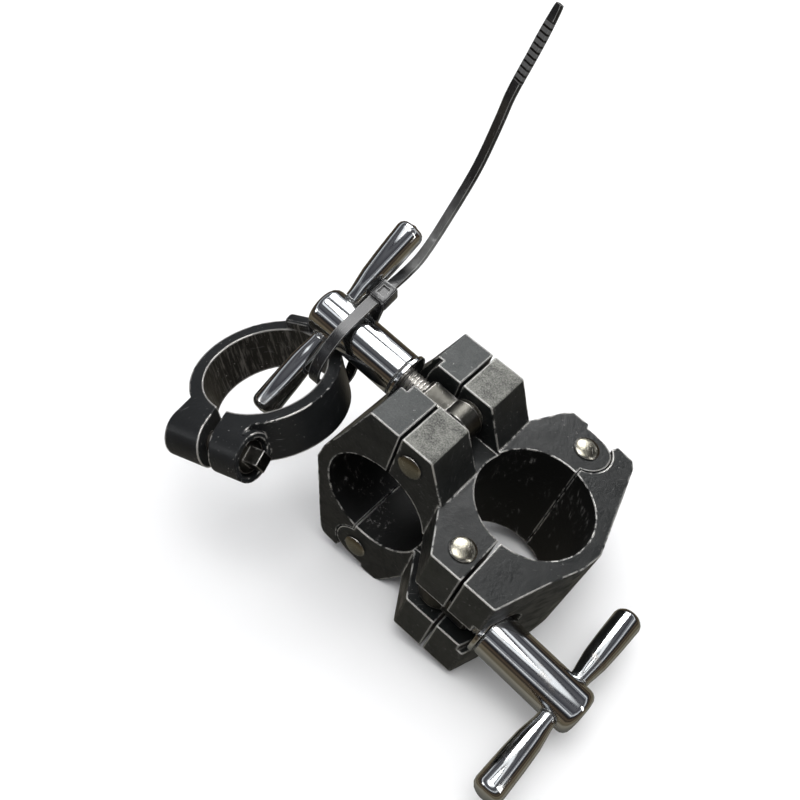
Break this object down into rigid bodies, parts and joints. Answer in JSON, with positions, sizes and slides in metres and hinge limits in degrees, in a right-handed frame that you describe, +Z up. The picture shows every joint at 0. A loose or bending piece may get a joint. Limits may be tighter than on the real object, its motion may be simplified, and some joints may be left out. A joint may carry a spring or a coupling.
{
  "type": "right-angle tube clamp",
  "caption": "Right-angle clamp for round tube: hinged jaws back to back at a quarter turn, swing bolts with long T-nuts, and a memory-lock collar hung on a cable tie.",
  "frame": {"origin": "centre of the underside of the bounding box of the clamp as it lies on a table", "axes": "+Z up from the table; +Y along the bore of clamp B, away from its front face; +X across both clamps, from clamp B to clamp A. The bore of clamp A leans 15.66 degrees from +Z towards +X."},
  "size_m": [0.1554, 0.1262, 0.171],
  "materials": {
    "cast_black": "black paint on cast metal, semi-gloss, worn at the edges",
    "pin_steel": "bare riveted steel",
    "bolt_steel": "bright zinc-plated steel",
    "nut_chrome": "polished chrome",
    "tie_nylon": "black nylon"
  },
  "bodies": {
    "casting": {"clamp_body": "cast_black", "hinge_pin_a": "pin_steel", "hinge_pin_b": "pin_steel", "pivot_pin_a": "pin_steel", "pivot_pin_b": "pin_steel", "pivot_spacer_a": "pin_steel", "pivot_spacer_b": "pin_steel"},
    "jaw_a": {"jaw_a": "cast_black"},
    "jaw_b": {"jaw_b": "cast_black"},
    "bolt_a": {"swing_bolt_a": "bolt_steel"},
    "bolt_b": {"swing_bolt_b": "bolt_steel"},
    "washer_a": {"washer_a": "nut_chrome"},
    "washer_b": {"washer_b": "nut_chrome"},
    "nut_a": {"t_nut_a": "nut_chrome", "t_arm_a_1": "nut_chrome", "t_arm_a_2": "nut_chrome"},
    "nut_b": {"t_nut_b": "nut_chrome", "t_arm_b_1": "nut_chrome", "t_arm_b_2": "nut_chrome"},
    "lock_collar": {"memory_lock_collar": "cast_black", "cable_tie": "tie_nylon"},
    "key_screw": {"collar_key_screw": "bolt_steel"}
  },
  "joints": [
    {"name": "jaw_a_hinge", "type": "hinge", "parent": "casting", "child": "jaw_a", "pos_m": [0.02999, 0.03479, 0.0288], "axis": [0.2699, 0, 0.9629], "range_deg": [0, 7.5]},
    {"name": "jaw_b_hinge", "type": "hinge", "parent": "casting", "child": "jaw_b", "pos_m": [-0.01563, 0.00559, 0.01126], "axis": [0, -1, 0], "range_deg": [0, 7.5]},
    {"name": "bolt_a_swing", "type": "hinge", "parent": "casting", "child": "bolt_a", "pos_m": [0.02393, -0.02341, 0.0305], "axis": [-0.2699, 0, -0.9629], "range_deg": [0, 110]},
    {"name": "bolt_b_swing", "type": "hinge", "parent": "casting", "child": "bolt_b", "pos_m": [0.00614, 0.00559, 0.0656], "axis": [0, 1, 0], "range_deg": [0, 90]},
    {"name": "washer_a_slide", "type": "slide", "parent": "bolt_a", "child": "washer_a", "axis": [0.9621, -0.0401, -0.2697], "range_m": [0, 0.01]},
    {"name": "washer_b_slide", "type": "slide", "parent": "bolt_b", "child": "washer_b", "axis": [-0.9513, 0, 0.3084], "range_m": [0, 0.01]},
    {"name": "nut_a_spin", "type": "hinge", "parent": "washer_a", "child": "nut_a", "pos_m": [0.05279, -0.02461, 0.02241], "axis": [0.9621, -0.0401, -0.2697], "range_deg": [0, 2880]},
    {"name": "nut_b_spin", "type": "hinge", "parent": "washer_b", "child": "nut_b", "pos_m": [-0.0224, 0.00559, 0.07485], "axis": [-0.9513, 0, 0.3084], "range_deg": [0, 2880]},
    {"name": "collar_swing", "type": "hinge", "parent": "nut_b", "child": "lock_collar", "pos_m": [-0.03476, 0.00559, 0.07886], "axis": [-0.9513, 0, 0.3084], "range_deg": [-5, 10]},
    {"name": "key_screw_turn", "type": "hinge", "parent": "lock_collar", "child": "key_screw", "pos_m": [-0.04912, -0.04195, 0.05798], "axis": [0.9832, 0.104, 0.1502], "continuous": true}
  ],
  "couplings": [
    {"joint": "washer_a_slide", "follows": "nut_a_spin", "m_per_rad": 0.00019894},
    {"joint": "washer_b_slide", "follows": "nut_b_spin", "m_per_rad": 0.00019894},
    {"joint": "jaw_a_hinge", "follows": "nut_a_spin", "ratio": 0.0026042},
    {"joint": "jaw_b_hinge", "follows": "nut_b_spin", "ratio": 0.0026042}
  ]
}
